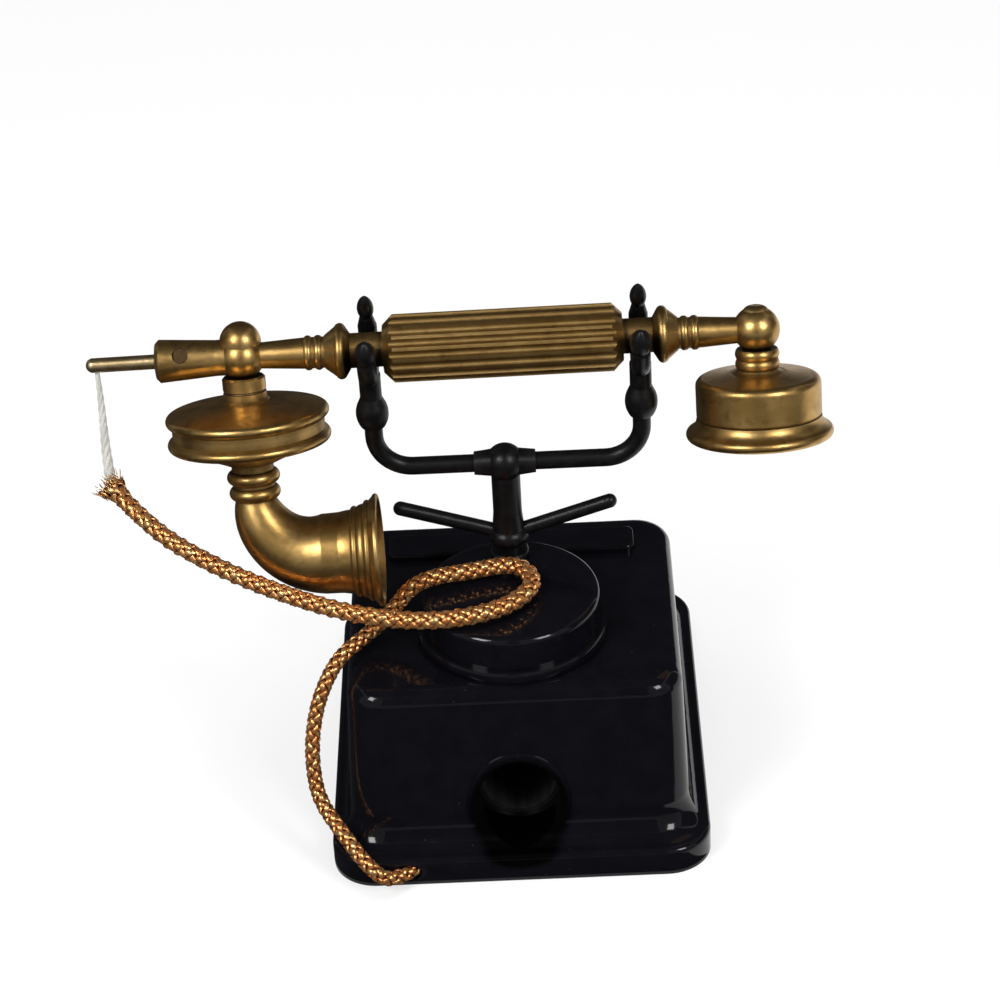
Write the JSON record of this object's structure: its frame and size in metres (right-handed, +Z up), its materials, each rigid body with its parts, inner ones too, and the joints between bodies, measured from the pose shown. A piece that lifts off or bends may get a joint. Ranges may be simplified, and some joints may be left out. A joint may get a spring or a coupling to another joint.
{
  "type": "model telephone with pencil sharpener",
  "caption": "Small model of an antique desk telephone: brass handset lifted from a forked cradle on a black base that holds a pencil sharpener.",
  "frame": {"origin": "middle of the resting face, in the middle of the plinth", "axes": "+X along the handset towards the receiver, +Y back from the pencil opening, +Z up"},
  "size_m": [0.0804, 0.0531, 0.0596],
  "materials": {
    "black_gloss": "gloss black enamel on a die casting",
    "black_satin": "satin black enamel",
    "aged_brass": "antiqued brass plating, dark in the recesses",
    "pale_brass": "plain drawn brass",
    "steel": "bright steel",
    "block_metal": "plain light-alloy block",
    "black_plastic": "moulded, matt",
    "copper_braid": "metallic copper braid",
    "thread": "white cotton core"
  },
  "bodies": {
    "base": {"base_casing": "black_gloss", "sharpener_block": "block_metal", "sharpener_blade": "steel", "blade_screw": "steel", "block_screws": "steel", "drum_cap": "black_gloss", "drum_screw": "steel", "cradle_post": "black_satin", "post_nut": "steel", "cradle_yoke": "black_satin", "left_fork": "black_satin", "right_fork": "black_satin", "cord_sheath": "copper_braid"},
    "cover": {"base_plate": "black_plastic"},
    "handset": {"grip_barrel": "aged_brass", "left_collar": "aged_brass", "right_collar": "aged_brass", "tie_rod": "steel", "transmitter_arm": "aged_brass", "receiver_arm": "aged_brass", "cord_pin": "pale_brass", "pin_screw": "steel", "arm_rivets": "aged_brass", "ball_crown": "aged_brass", "transmitter_upper": "aged_brass", "transmitter_lower": "aged_brass", "mouthpiece_horn": "aged_brass", "receiver_cup": "aged_brass", "receiver_cap": "aged_brass", "core_thread": "thread"}
  },
  "joints": [
    {"name": "handset_lift", "type": "slide", "parent": "base", "child": "handset", "axis": [0, -0.342, 0.9397], "range_m": [0, 0.03]},
    {"name": "cover_pull", "type": "slide", "parent": "base", "child": "cover", "axis": [0, 0, -1], "range_m": [0, 0.02]}
  ]
}
